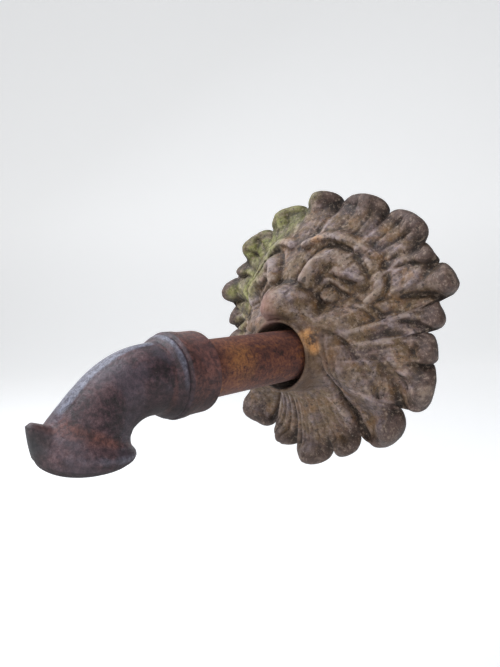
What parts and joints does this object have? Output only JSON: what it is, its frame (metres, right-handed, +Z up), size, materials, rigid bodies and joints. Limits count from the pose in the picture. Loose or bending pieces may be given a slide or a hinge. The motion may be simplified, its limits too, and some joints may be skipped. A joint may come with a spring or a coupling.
{
  "type": "wall fountain spout",
  "caption": "Cast iron grotesque wall mask with leafy mane and beard, an iron water pipe through its round mouth and a turned-down beaded spout with a pail hook.",
  "frame": {"origin": "on the axis of the round mouth, in the plane of the wall that the mask's flat back ring lies on", "axes": "+Z is up, the mask looks along -Y, and +Y points into the wall"},
  "size_m": [0.3532, 0.4171, 0.352],
  "materials": {
    "mask_iron": "weathered brown rust with green algae on the crown side",
    "pipe_iron": "even red-brown rust",
    "spout_iron": "dark purple-brown rust with a dull sheen"
  },
  "bodies": {
    "root": {"mask": "mask_iron", "pipe": "pipe_iron", "spout": "spout_iron"}
  },
  "joints": []
}
